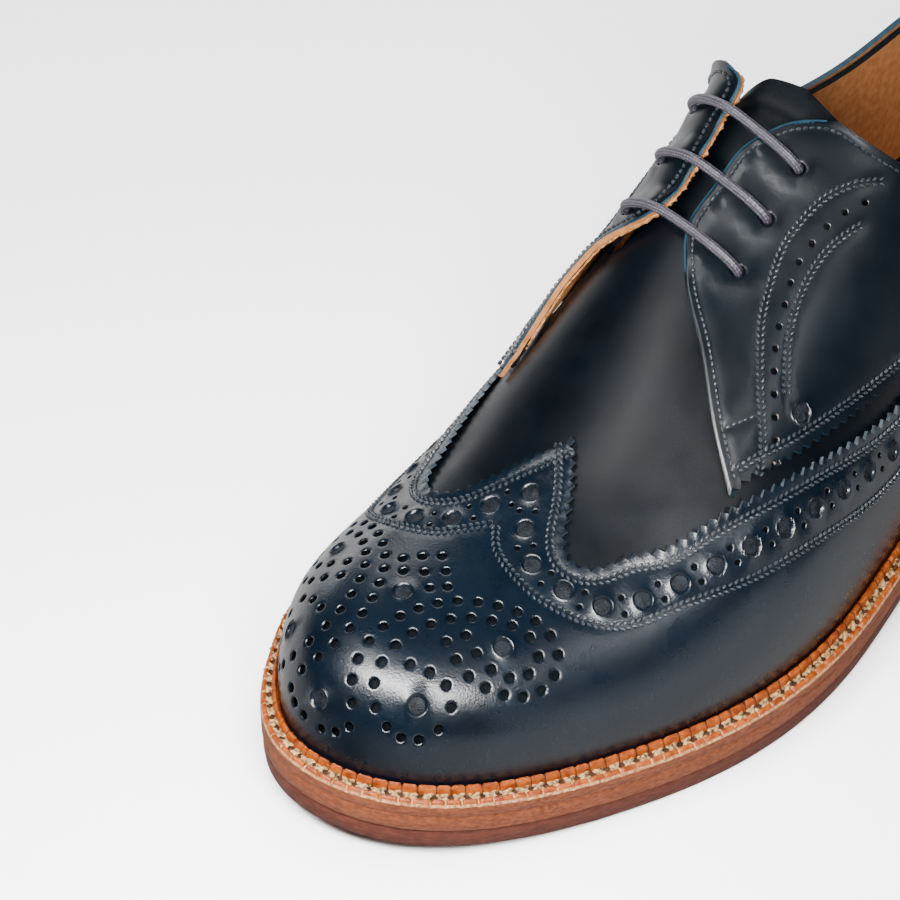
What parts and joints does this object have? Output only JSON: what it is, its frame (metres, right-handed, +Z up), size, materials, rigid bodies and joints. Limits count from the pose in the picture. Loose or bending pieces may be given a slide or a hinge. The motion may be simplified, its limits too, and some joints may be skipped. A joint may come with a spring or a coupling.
{
  "type": "full brogue derby shoe",
  "caption": "Left leather derby shoe with a long wing tip, open-laced facings, storm welt, double leather sole and stacked heel; hollow, to be worn on a foot.",
  "frame": {"origin": "on the floor under the middle of the sole's outline", "axes": "+Z up, toe towards -Y, the shoe's outer side towards +X"},
  "size_m": [0.108, 0.2998, 0.1148],
  "materials": {
    "outsole": "dyed and waxed sole leather",
    "midsole": "burnished sole leather",
    "welt": "tan vegetable-tanned leather",
    "heel": "stacked leather, burnished",
    "insole": "plain leather board",
    "upper": "polished dark navy leather",
    "wing_cap": "polished dark navy leather",
    "quarter_left": "polished dark navy leather",
    "quarter_right": "polished dark navy leather",
    "tongue": "soft dark navy leather",
    "lace": "waxed round cotton lace"
  },
  "bodies": {
    "root": {"outsole": "outsole", "midsole": "midsole", "welt": "welt", "heel": "heel", "insole": "insole", "upper": "upper", "wing_cap": "wing_cap", "quarter_left": "quarter_left", "quarter_right": "quarter_right", "tongue": "tongue", "lace": "lace"}
  },
  "joints": []
}
